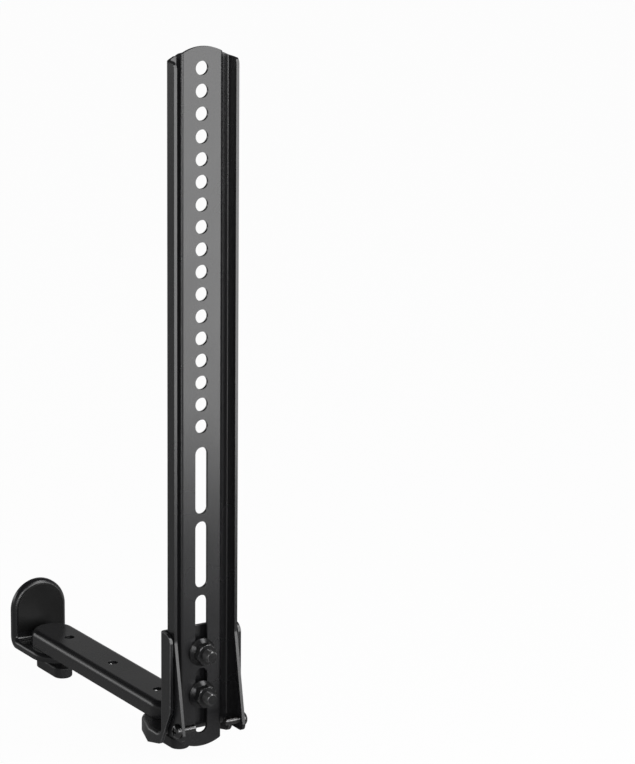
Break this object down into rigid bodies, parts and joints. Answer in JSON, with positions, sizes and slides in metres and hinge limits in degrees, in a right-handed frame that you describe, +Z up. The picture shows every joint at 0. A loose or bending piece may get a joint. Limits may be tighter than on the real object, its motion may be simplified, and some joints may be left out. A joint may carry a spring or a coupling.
{
  "type": "soundbar bracket",
  "caption": "Upright slotted rail with an adjustable angle bracket, a swivelling support arm and a padded end stop, to hang a soundbar from a screen.",
  "frame": {"origin": "middle of the rail's row of round holes, on the rear face of the rail's web", "axes": "+X to the right seen from behind the screen, +Y forward along the arm, +Z up the rail"},
  "size_m": [0.0522, 0.2378, 0.4559],
  "materials": {
    "black_powder_coat": "satin black powder coat",
    "black_zinc": "black plated steel",
    "black_plastic": "moulded black plastic",
    "black_rubber": "matt black rubber"
  },
  "bodies": {
    "rail": {"rail": "black_powder_coat", "lock_screw_left": "black_zinc", "lock_screw_right": "black_zinc"},
    "bracket": {"angle_bracket": "black_powder_coat", "clamp_bolt_lower": "black_zinc", "clamp_bolt_upper": "black_zinc", "flange_nut_lower": "black_zinc", "flange_nut_upper": "black_zinc"},
    "swivel_pin": {"swivel_washer": "black_zinc"},
    "arm": {"arm": "black_powder_coat", "swivel_weld_nut": "black_zinc", "stop_weld_nut": "black_zinc"},
    "swivel_knob": {"swivel_knob": "black_plastic", "swivel_stud": "black_zinc"},
    "stop_pin": {"stop_washer": "black_zinc"},
    "stop": {"end_stop": "black_powder_coat", "stop_pad": "black_rubber"},
    "stop_knob": {"stop_knob": "black_plastic", "stop_stud": "black_zinc"}
  },
  "joints": [
    {"name": "height_slide", "type": "slide", "parent": "rail", "child": "bracket", "axis": [0, 0, 1], "range_m": [-0.001, 0.013]},
    {"name": "depth_slide", "type": "slide", "parent": "bracket", "child": "swivel_pin", "axis": [0, 1, 0], "range_m": [-0.0095, 0.0025]},
    {"name": "arm_swivel", "type": "hinge", "parent": "swivel_pin", "child": "arm", "pos_m": [0, 0.0394, -0.31116], "axis": [0, 0, 1], "range_deg": [-90, 90]},
    {"name": "swivel_knob_turn", "type": "hinge", "parent": "swivel_pin", "child": "swivel_knob", "pos_m": [0, 0.0394, -0.32116], "axis": [0, 0, 1], "continuous": true},
    {"name": "stop_swivel", "type": "hinge", "parent": "arm", "child": "stop_pin", "pos_m": [0, 0.1968, -0.31116], "axis": [0, 0, 1], "range_deg": [-45, 45]},
    {"name": "stop_slide", "type": "slide", "parent": "stop_pin", "child": "stop", "axis": [0, 1, 0], "range_m": [-0.002, 0.01]},
    {"name": "stop_knob_turn", "type": "hinge", "parent": "stop_pin", "child": "stop_knob", "pos_m": [0, 0.1968, -0.32116], "axis": [0, 0, 1], "continuous": true}
  ]
}
